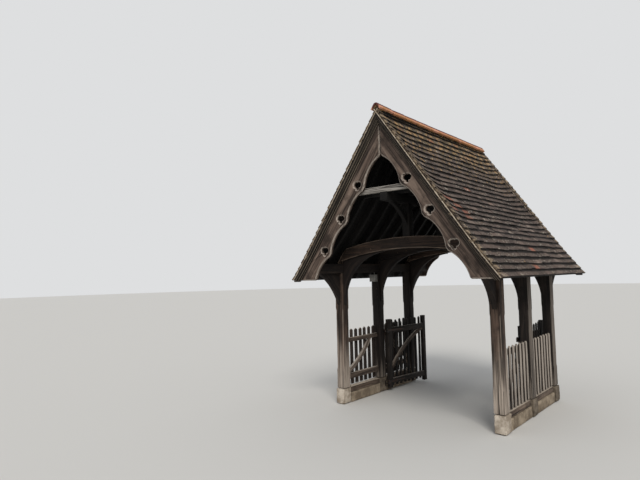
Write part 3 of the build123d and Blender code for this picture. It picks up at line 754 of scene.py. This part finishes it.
def tile_course(course):
    """The (share of a width, y) of each tile of a course, from the front verge, with half bond."""
    shares = [1] * TILES_ACROSS
    if course % 2:
        shares = [WIDE] + [1] * (TILES_ACROSS - 3) + [WIDE]
    tiles = []
    edge = -TILES_ACROSS / 2 * TILE_WIDTH
    for share in shares:
        width = share * TILE_WIDTH
        tiles.append((share, edge + width / 2))
        edge += width
    return tiles


def tile_tone(y, run):
    """A tile's tone: mostly brown-grey, with redder ones here and there and a mended patch of them."""
    patch_y = -1.12
    patch_run = 1.68
    tone = dice.betavariate(1.8, 2.8) * 0.85
    mended = abs(y - patch_y) < 0.30 and abs(run - patch_run) < 0.22
    if dice.random() < (0.35 if mended else 0.014):
        tone = dice.uniform(0.9, 1.0)
    return tone


def tile_slope(side, word):
    """All the tiles of one slope, course by course, with what time has moved."""
    full = plain_tile("plain_tile", TILE_WIDTH - TILE_JOINT)
    wide = plain_tile("wide_tile", TILE_WIDTH * WIDE - TILE_JOINT)
    places = {1: [], WIDE: []}
    lap = math.asin(TILE_THICK / GAUGE)
    overhang = 0.004
    eaves_overhang = 0.005
    eaves_tile_share = 0.62
    eaves_depth = 0.0145
    for course in range(COURSES):
        run = SLOPE - course * GAUGE
        drift = dice.uniform(0, 50)
        for share, y in tile_course(course):
            wave = noise.noise(Vector((y * 2.4, drift, 0.5))) * 0.014
            slip = run - overhang + wave + dice.uniform(-0.0055, 0.0055)
            if course == 0:
                slip = run - eaves_overhang + wave * 0.35
            tilt = -lap + dice.uniform(-0.018, 0.008)
            twist = dice.uniform(-0.018, 0.018)
            depth = sag(y, run) + 0.0015 + dice.uniform(0, 0.0045)
            place = on_roof(slip, depth, y, side, tilt + lean(y, run, down=0.05), twist)
            place = place @ Matrix.Rotation(side * lean(y, run, along=0.04), 4, "Y")
            place = place @ Matrix.Diagonal((1, min(1.0, (slip - overhang) / TILE_LENGTH), 1, 1))
            places[share].append((place, tile_tone(y, run)))
    short = Matrix.Diagonal((1, eaves_tile_share, 1, 1))
    for number in range(TILES_ACROSS):
        y = (number - (TILES_ACROSS - 1) / 2) * TILE_WIDTH
        place = on_roof(SLOPE - 0.008, eaves_depth + sag(y, SLOPE), y, side, -lap * 0.6)
        places[1].append((place @ short, tile_tone(y, SLOPE)))
    laid = [lay(full, places[1], "full_tiles"), lay(wide, places[WIDE], "wide_tiles")]
    tiles = join(laid, word + "_tiles")
    done(tiles, TILE_CLAY, stands_for=(word + "_tile_slope",))


def ridge_half(name, low, high, above):
    """The right half of the frame's ridge between two places: its cap, or the bed under the cap."""
    half = from_frame("ridge_tiles", 0, name=name)
    saw(half, (0, low, 0), (0, -1, 0))
    saw(half, (0, high, 0), ALONG_Y)
    saw(half, (0, 0, 0), (-1, 0, 0))
    out = Vector((math.sin(PITCH), 0, math.cos(PITCH)))
    parting = out * (RIDGE_STAND - CAP_THICK) + Vector((0, 0, APEX))
    saw(half, parting, -out if above else out)
    down_slope = Vector((math.cos(PITCH), 0, -math.sin(PITCH)))
    bed_steps_in = 0.010
    reach = RIDGE_REACH if above else RIDGE_REACH - bed_steps_in
    saw(half, down_slope * reach + Vector((0, 0, APEX)), down_slope)
    return half


def both_halves(half, name):
    """A half of the ridge and its mirror image, joined at the crown."""
    seam = 0.0001
    pick(half, "FACE", lambda corners: all(abs(corner.x) < seam for corner in corners))
    bpy.ops.mesh.delete(type="FACE")
    close()
    other = placed(half, Matrix.Diagonal((-1, 1, 1, 1)))
    edit(other)
    bpy.ops.mesh.flip_normals()
    close()
    whole = join([half, other], name)
    edit(whole)
    bpy.ops.mesh.remove_doubles(threshold=seam)
    bpy.ops.mesh.dissolve_limited(angle_limit=FLAT)
    close()
    return whole


def ridge():
    """Ridge tiles end to end, each with its own set, bedded on mortar. The first one nods."""
    count = 10
    length = (ROOF_HALF + RIDGE_END) / count
    joint = 0.003
    nod = 0.028
    bow = 0.018
    bed_set_back = 0.012
    bed_overlap = 0.001
    tiles = []
    beds = []
    for number in range(count):
        start = -ROOF_HALF + number * length
        end = start + length
        middle = start + length / 2
        tile = both_halves(ridge_half("ridge_cap", start + joint, end - joint, True), "ridge_tile")
        edit(tile)
        round_arrises(40, 0.003)
        close()
        turn = Matrix.Rotation(dice.uniform(-0.005, 0.005) - (0 if number else nod), 4, "X")
        low = 0.008
        if number:
            low = 0.013 + bow * (1 - ((ROOF_HALF - middle) / (2 * ROOF_HALF)) ** 2)
        drop = Matrix.Translation((0, 0, -low - dice.uniform(0, 0.0025)))
        pivot = Matrix.Translation((0, middle, APEX))
        tile.data.transform(drop @ pivot @ turn @ pivot.inverted())
        put_tone(tile.data, dice.random())
        tiles.append(tile)
        inset = bed_set_back if number in (0, count - 1) else -bed_overlap
        bed = both_halves(ridge_half("ridge_bed", start + inset, end - inset, False), "ridge_mortar")
        bed.data.transform(drop)
        beds.append(bed)
    whole = join(tiles, "ridge_tiles_laid")
    done(whole, RIDGE_CLAY, stands_for=("ridge_tiles",))
    mortar = join(beds, "ridge_mortar")
    slice_up(mortar, ALONG_Y, -ROOF_HALF, RIDGE_END, 0.05)
    wear(mortar, depth=0.008, size=0.05)
    done(mortar, RIDGE_BED)


def verge_mortar(side, end, word):
    """The mortar between the undercloak and the tiles' edges, along one verge."""
    outer = ROOF_HALF - 0.011
    half = (outer - BOARD_BACK) / 2
    under_tiles = 0.041
    thick = 0.027
    eaves_gap = 0.012
    apex_gap = 0.02
    overlap = 0.004
    strips = []
    for number in range(COURSES):
        high = SLOPE - eaves_gap - number * GAUGE
        low = max(high - GAUGE - overlap, apex_gap)
        long = (high - low) / 2
        strip = baulk("verge_mortar", (-half, -long, 0), (half, long, thick), 0)
        strip.data.transform(on_roof((high + low) / 2, under_tiles, end * (outer - half), side))
        strips.append(strip)
    mortar = join(strips, word + "_verge_mortar")
    divide(mortar)
    wear(mortar, depth=0.012, size=0.035)
    done(mortar, MORTAR)


def undercloak(side, end, word):
    """The row of flat tiles under the mortar of one verge."""
    count = 17
    pitch = 0.158
    corner = Vector((0.06, 0.078, 0.0045))
    under_tiles = 0.0405
    eaves_gap = 0.02
    y = end * (ROOF_HALF - 0.062)
    cloak = []
    for number in range(count):
        run = SLOPE - eaves_gap - (number + 0.5) * pitch
        tile = baulk("undercloak", -corner, corner, 0.0015, 1)
        tile.data.transform(on_roof(run, under_tiles, y, side, 0, dice.uniform(-0.01, 0.01)))
        cloak.append(tile)
    done(join(cloak, word + "_undercloak"), LIME_EDGE)


def boarding(side, word):
    """The roof's boards, laid edge to edge across the rafters."""
    width = 0.1485
    count = 18
    gap = 0.001
    board = baulk("roof_board", (-BOARD_BACK + gap, -width / 2 + gap, -BOARD_LAYER + gap),
                  (BOARD_BACK - gap, width / 2 - gap, 0), 0.002, 1)
    slice_up(board, ALONG_X, -BOARD_BACK, BOARD_BACK, 0.15)
    laid = []
    for number in range(count):
        run = SLOPE - 0.027 - (number + 0.5) * width
        twist = dice.uniform(-0.0004, 0.0004)
        copy = placed(board, on_roof(run, TILE_LAYER + 0.0005, 0, side, 0, twist))
        sink(copy)
        grain(copy, ALONG_Y)
        laid.append(copy)
    bpy.data.objects.remove(board)
    whole = join(laid, word + "_boarding")
    done(whole, PAINTED_SHADE_BOARDING, stands_for=(word + "_roof_boards",))


def common_rafters(side, word):
    """The rafters of one slope."""
    node = word + "_rafters"
    piece = from_frame(node, 0.003, 1)
    grain(piece, (side * math.cos(PITCH), 0, -math.sin(PITCH)))
    done(piece, SHADE_PAINTED_INNER_OAK, stands_for=(node,))


# Gables

def in_board(spot):
    """Where a point lies in the grain of a gable's board, which runs down its slope."""
    run, depth = run_and_depth(spot)
    shift = (11 if spot.x > 0 else 0) + (5 if spot.y > 0 else 0)
    return run + shift, depth, spot.y


def chamfered_face(piece, face_y, width):
    """Chamfers the face at Y round its outline, but not under the tiles or at the apex."""
    def on_outline(ends):
        on_face = all(abs(spot.y - face_y) < 0.0005 for spot in ends)
        at_top = all(run_and_depth(spot)[1] < TILE_LAYER + 0.002 for spot in ends)
        at_apex = all(abs(spot.x) < 0.006 for spot in ends)
        return on_face and not at_top and not at_apex

    pick(piece, "EDGE", on_outline, 40)
    bpy.ops.mesh.bevel(offset=width, segments=1)
    round_arrises(30, 0.0025, 1, True)
    close()


def bargeboards():
    """The pierced and cusped boards, with a joint open at the apex, and the mouldings outside them."""
    half_joint = 0.004
    chamfer = 0.017
    for end, gable in ENDS:
        for side, word in SIDES:
            node = gable + "_" + word + "_bargeboard"
            piece = from_frame(node, 0)
            saw(piece, (side * half_joint, 0, 0), (-side, 0, 0))
            chamfered_face(piece, end * BOARD_FRONT, chamfer)
            put_grain(piece, in_board)
            done(piece, BOARD_OAK, stands_for=(node,))
    mouldings = from_frame("verge_mouldings", 0.002, 1)
    saw(mouldings, (0, 0, MOULDING_FOOT), (0, 0, -1))
    put_grain(mouldings, in_board)
    done(mouldings, MOULDING_OAK_PAINTED_SHADE, stands_for=("verge_mouldings",))


# Frame

def posts():
    """The posts, adzed a little hollow, chamfered and bleached at the foot."""
    for truss in ("front", "middle", "rear"):
        finish = POST_OAK if truss == "front" else SHADED_POST_OAK
        for word in ("left", "right"):
            node = truss + "_" + word + "_post"
            piece = from_frame(node, 0.005)
            slice_up(piece, ALONG_Z, SILL_TOP, POST_TOP, 0.085)
            grain(piece, ALONG_Z)
            wear(piece, depth=0.007, size=0.16)
            done(piece, finish, stands_for=(node,))


def ties():
    """The cambered tie beams, the outer two with a chamfered face."""
    chamfer = 0.012
    for face, truss in ((-1, "front"), (0, "middle"), (1, "rear")):
        node = truss + "_tie_beam"
        piece = from_frame(node, 0 if face else 0.005)
        if face:
            chamfered_face(piece, face * OUTER_TIE_FACE, chamfer)
        slice_up(piece, ALONG_X, -TIE_HALF_LENGTH, TIE_HALF_LENGTH, 0.1)
        grain(piece, ALONG_X)
        wear(piece, depth=0.006, size=0.2)
        done(piece, BEAM_OAK if face else SHADE_PAINTED_FRAME_OAK, stands_for=(node,))


def in_arch(spot):
    """Where a point lies in the grain of an arch brace, which curves about a centre on its side."""
    centre_x = 0.35
    centre_z = 1.46
    radius = 0.83
    side = 1 if spot.x >= 0 else -1
    x = abs(spot.x) - centre_x
    z = spot.z - centre_z
    return math.atan2(z, x) * radius + side * 9 + spot.y * 5, math.hypot(x, z), spot.y


def in_bracket(spot):
    """Where a point lies in the grain of an eaves bracket, which rises slantwise to its gable."""
    outward = abs(spot.y)
    return outward * 0.7 + spot.z * 0.7 + spot.x, outward * -0.7 + spot.z * 0.7, spot.x


def braces_and_plates():
    """The curved braces, brackets, plates, crown posts and purlin."""
    for node, in_grain in (("arch_braces", in_arch), ("eaves_brackets", in_bracket)):
        piece = from_frame(node, 0.005)
        put_grain(piece, in_grain)
        done(piece, SHADE_PAINTED_FRAME_OAK, stands_for=(node,))
    for node, way, finish in (
        ("crown_posts", ALONG_Z, SHADE_PAINTED_INNER_OAK),
        ("collar_purlin", ALONG_Y, SHADE_PAINTED_INNER_OAK),
        ("left_wall_plate", ALONG_Y, SHADE_PAINTED_FRAME_OAK),
        ("ridge_board", ALONG_Y, SHADE_PAINTED_INNER_OAK),
        ("right_wall_plate", ALONG_Y, SHADE_PAINTED_FRAME_OAK),
        ("crown_braces", (0, 0.8, 0.6), SHADE_PAINTED_INNER_OAK),
    ):
        piece = from_frame(node)
        grain(piece, way)
        done(piece, finish, stands_for=(node,))


def collar_pieces():
    """The collars, cut to the undersides of the rafters; the two outermost have weathered pale."""
    inner = from_frame("collars", name="inner_collars")
    for end in (-1, 1):
        saw(inner, (0, end * COLLARS_PART, 0), (0, end, 0))
    grain(inner, ALONG_X)
    done(inner, SHADE_PAINTED_INNER_OAK)
    outer = []
    for end in (-1, 1):
        collar = from_frame("collars", name="outer_collar")
        saw(collar, (0, end * COLLARS_PART, 0), (0, -end, 0))
        grain(collar, ALONG_X)
        outer.append(collar)
    done(join(outer, "outer_collars"), COLLAR_OAK, stands_for=("collars",))


def pegs():
    """Oak pegs that stand a little proud of the joints."""
    in_posts = ((1.146, 1.53), (1.158, 1.66))
    in_ties = ((0.58, 2.262), (0.74, 2.236))
    in_crown_posts = ((-0.03, 2.385), (0.03, 2.36))
    middle_tie_half = 0.065
    spots = []
    for truss in TRUSSES:
        face = 1 if truss > 0 else -1
        post_face = truss + face * POST_HALF
        tie_face = truss + face * (POST_HALF if truss else middle_tie_half)
        for side in (-1, 1):
            spots += [(side * x, post_face, z) for x, z in in_posts]
            spots += [(side * x, tie_face, z) for x, z in in_ties]
        spots += [(x, tie_face, z) for x, z in in_crown_posts]
    made = []
    for spot in spots:
        turn = (math.radians(90), dice.uniform(0, 3), 0)
        bpy.ops.mesh.primitive_cylinder_add(
            vertices=10, radius=0.0095, depth=0.016, location=spot, rotation=turn)
        peg = fresh("peg")
        bevel_all(peg, 0.002, 1)
        grain(peg, ALONG_Y)
        made.append(peg)
    done(join(made, "frame_pegs"), BEAM_OAK)


# Feet

def rough_block(name, low, high, round_off, depth, size):
    """A rough block of stone, its corners knocked off."""
    block = baulk(name, low, high, round_off)
    divide(block)
    wear(block, depth, size, detail=3)
    return block


def feet():
    """Stones under the posts, kerbs and sills under the sides."""
    stones = []
    shaded = []
    kerbs = []
    sills = {-1: [], 1: []}
    for side in (-1, 1):
        for y in TRUSSES:
            low = (side * POST_INNER, y - STONE_HALF, 0)
            high = (side * STONE_OUTER, y + STONE_HALF, SILL_TOP)
            stone = rough_block("post_stone", low, high, 0.014, depth=0.020, size=0.07)
            (stones if y < 0 else shaded).append(stone)
        for y_low, y_high in SILL_BAYS:
            low = (side * POST_INNER, y_low, 0)
            high = (side * KERB_OUTER, y_high, KERB_TOP)
            kerbs.append(rough_block("kerb", low, high, 0.01, depth=0.010, size=0.09))
            sill = baulk("sill", (side * POST_X - SILL_HALF, y_low, KERB_TOP),
                         (side * POST_X + SILL_HALF, y_high, SILL_TOP), 0.009)
            slice_up(sill, ALONG_Y, y_low, y_high, 0.08)
            grain(sill, ALONG_Y)
            wear(sill, depth=0.007, size=0.1)
            sills[side].append(sill)
    done(join(stones, "front_stones_rough"), PALE_STONE, stands_for=("post_stones",))
    done(join(shaded, "inner_stones_rough"), SHADED_STONE)
    done(join(kerbs, "kerbs_rough"), KERB_STONE, stands_for=("kerbs",))
    for side, word in SIDES:
        whole = join(sills[side], word + "_sills_worn")
        done(whole, SILL_OAK, stands_for=(word + "_sills",))


# Fences and gates

def pointed_pale(name, width, thick, foot, top, point=0.022):
    """A pale standing at the origin along X, sawn to a weathered point."""
    pale = baulk(name, (-width / 2, 0, foot), (width / 2, thick, top), 0)
    for side in (-1, 1):
        saw(pale, (0, 0, top), (side * point, 0, width / 2))
    bevel_all(pale, 0.0022)
    return pale


def fence(side, end, word):
    """A side bay: two rails, a curved brace between them and pales on the outward face."""
    outer = end * 0.875
    y_low, y_high = sorted((outer, end * POST_HALF))
    rail_half = 0.022
    inner_face = side * (POST_X - rail_half)
    outer_face = side * (POST_X + rail_half)
    rails = []
    for low, high in ((0.332, 0.417), (0.882, 0.949)):
        rail = baulk("rail", (inner_face, y_low, low), (outer_face, y_high, high))
        slice_up(rail, ALONG_Y, y_low, y_high, 0.09)
        grain(rail, ALONG_Y)
        wear(rail, depth=0.004, size=0.12)
        rails.append(rail)
    brace_foot = (side * POST_X, outer + end * 0.01, 0.425)
    brace_head = (side * POST_X, outer - end * 0.60, 0.895)
    brace = swept(word + "_fence_brace", brace_foot, brace_head, bow=0.055, depth=0.062,
                  width=0.038, normal=(end, 0, 0))
    done(brace, BRACE_OAK)
    count = 7
    pitch = (y_high - y_low) / count
    foot = 0.24
    top = SILL_TOP + (0.85 if side < 0 else 0.77)
    turn = Matrix.Rotation(math.radians(-90 * side), 4, "Z")
    pales = []
    for number in range(count):
        pale = pointed_pale("pale", 0.062, 0.019, foot, top - dice.uniform(0, 0.012))
        tilt = Matrix.Rotation(dice.uniform(-0.006, 0.006), 4, "X")
        place = Matrix.Translation((outer_face, y_low + (number + 0.5) * pitch, 0))
        pale.data.transform(place @ tilt @ turn)
        grain(pale, ALONG_Z)
        pales.append(pale)
    done(join(rails, word + "_fence_rails"), RAIL_OAK, stands_for=(word + "_fence",))
    done(join(pales, word + "_fence_pales"), FENCE_OAK)


def hang(piece, side):
    """Hangs a leaf's piece, drawn shut along +X from a pivot at the origin, on its post."""
    if side > 0:
        piece.data.transform(Matrix.Diagonal((-1, 1, 1, 1)))
    opened = Matrix.Rotation(LEFT_OPEN if side < 0 else RIGHT_OPEN, 4, "Z")
    piece.data.transform(Matrix.Translation((side * PIVOT_X, PIVOT_Y, 0)) @ opened)
    if side > 0:
        edit(piece)
        bpy.ops.mesh.normals_make_consistent(inside=False)
        close()
    return piece


def round_head(stile, top):
    """Rounds the head of a stile, which is drawn along X, over its width."""
    def across_head(ends):
        return min(ends[0].z, ends[1].z) > top - 0.0041 and abs(ends[0].y - ends[1].y) > 0.03

    pick(stile, "EDGE", across_head)
    bpy.ops.mesh.bevel(offset=0.022, segments=4)
    close()


def hinge_bolts(word):
    """The domed heads of the bolts through the two strap hinges of a leaf."""
    bolts = []
    for z in (0.1525, 0.977):
        for x in (0.06, 0.2, 0.37):
            bpy.ops.mesh.primitive_uv_sphere_add(
                segments=12, ring_count=6, radius=0.009, location=(x, -0.0025, z), scale=(1, 0.45, 1))
            bolts.append(fresh("hinge_bolt"))
    return join(bolts, word + "_hinge_bolts")


def gate(side, word):
    """A gate leaf: stiles, rails, a curved brace, pales and bolts."""
    body = word + "_gate"
    heel = 0.022
    free = 1.044
    inner = heel + 0.085
    outer = free - 0.075
    front = 0.003
    back = 0.059
    rail_back = back - 0.018
    top = 1.155
    tenon = 0.004
    timbers = []
    for name, low, high, way in (
        ("heel_stile", (heel, front, 0.045), (inner, back, top), ALONG_Z),
        ("meeting_stile", (outer, front, 0.030), (free, back, top), ALONG_Z),
        ("bottom_rail", (inner - tenon, front, 0.110), (outer + tenon, rail_back, 0.195), ALONG_X),
        ("top_rail", (inner - tenon, front, 0.932), (outer + tenon, rail_back, 1.022), ALONG_X),
    ):
        timber = baulk(name, low, high)
        if name == "meeting_stile":
            round_head(timber, top)
        grain(timber, way)
        timbers.append(timber)
    middle = (front + rail_back) / 2
    brace = swept(word + "_leaf_brace", (inner - 0.01, middle, 0.365), (outer - 0.02, middle, 0.95),
                  bow=0.058, depth=0.060, width=rail_back - front, normal=(0, -1, 0))
    done(hang(brace, side), RAIL_OAK, body=body)
    count = 8
    pitch = (outer - inner) / count
    thick = 0.018
    pales = []
    for number in range(count):
        pale = pointed_pale("leaf_pale", 0.044, thick, 0.07, top - dice.uniform(0, 0.02))
        x = inner + (number + 0.5) * pitch
        pale.data.transform(Matrix.Translation((x, back - thick, 0)))
        grain(pale, ALONG_Z)
        pales.append(pale)
    leaf = hang(join(timbers, word + "_leaf_frame"), side)
    done(leaf, GATE_OAK, body=body, stands_for=(word + "_gate_leaf",))
    row = hang(join(pales, word + "_leaf_pales"), side)
    done(row, SHADED_GATE_OAK, body=body)
    done(hang(hinge_bolts(word), side), IRON, body=body)


# Ironwork and the box

def fittings():
    """Finishes for the pieces of the frame that keep their own shape, and the lid of the box."""
    for node, finish in (("left_gate_hinges", IRON), ("right_gate_hinges", IRON), ("pintles", IRON),
                         ("junction_box", GREY_PLASTIC)):
        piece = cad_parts[node]
        piece.data.materials.clear()
        piece.data.materials.append(finish)
    lid = baulk("box_lid", (-POST_X - 0.054, -0.148, 1.784), (-POST_X + 0.054, -0.140, 1.891), 0.003)
    done(lid, GREY_PLASTIC)


# Stage

def stage():
    """A plain pale floor, a soft light from the front right and a pale sky."""
    bpy.ops.mesh.primitive_circle_add(
        vertices=64, radius=60, fill_type="NGON", location=(0, 0, -0.002))
    floor = fresh("floor")
    finish, shader, _ = new_finish("pale_floor", 0.95, 0.1)
    shader.inputs["Base Color"].default_value = tint(206, 204, 200)
    floor.data.materials.append(finish)
    world = bpy.data.worlds.new("sky")
    bpy.context.scene.world = world
    world.use_nodes = True
    tree = world.node_tree
    tree.nodes.clear()
    light = add(tree, "Background", {"Color": (0.93, 0.96, 1.0, 1), "Strength": 0.62})
    seen = add(tree, "Background", {"Color": tint(222, 223, 224), "Strength": 1.0})
    path = add(tree, "LightPath").outputs
    rays = sums("MAXIMUM", path["Is Camera Ray"], path["Is Glossy Ray"])
    rays = sums("MAXIMUM", rays, path["Is Transmission Ray"])
    both = add(tree, "MixShader", {0: rays, 1: light.outputs[0], 2: seen.outputs[0]})
    out = add(tree, "OutputWorld")
    tree.links.new(both.outputs[0], out.inputs["Surface"])
    sun = bpy.data.lights.new("sun", "SUN")
    sun.energy = 1.7
    sun.angle = math.radians(24)
    sun.color = (1.0, 0.97, 0.92)
    lamp = bpy.data.objects.new("sun", sun)
    bpy.context.collection.objects.link(lamp)
    to_sun = Vector((0.50, -0.50, 0.71))
    lamp.rotation_euler = to_sun.to_track_quat("Z", "Y").to_euler()


def camera():
    """The photograph's camera."""
    place = (3.607, -6.927, 1.936)
    yaw = math.radians(41.08)
    pitch = math.radians(3.783)
    roll = math.radians(-1.315)
    flat = math.cos(pitch)
    forward = Vector((-math.sin(yaw) * flat, math.cos(yaw) * flat, math.sin(pitch)))
    level = Vector((math.cos(yaw), math.sin(yaw), 0))
    over = level.cross(forward)
    right = level * math.cos(roll) + over * math.sin(roll)
    up = over * math.cos(roll) - level * math.sin(roll)
    lens = bpy.data.cameras.new("camera")
    lens.sensor_width = 36
    lens.lens = 28.33
    eye = bpy.data.objects.new("camera", lens)
    bpy.context.collection.objects.link(eye)
    turned = Matrix((right, up, -forward)).transposed().to_4x4()
    eye.matrix_world = Matrix.Translation(place) @ turned
    bpy.context.scene.camera = eye


camera()
stage()
for side, word in SIDES:
    tile_slope(side, word)
    boarding(side, word)
    common_rafters(side, word)
    for end, gable in ENDS:
        quarter = gable + "_" + word
        verge_mortar(side, end, quarter)
        undercloak(side, end, quarter)
        fence(side, end, quarter)
    gate(side, word)
ridge()
bargeboards()
posts()
ties()
braces_and_plates()
collar_pieces()
pegs()
feet()
fittings()

view_settings = bpy.context.scene.view_settings
view_settings.view_transform = "Standard"
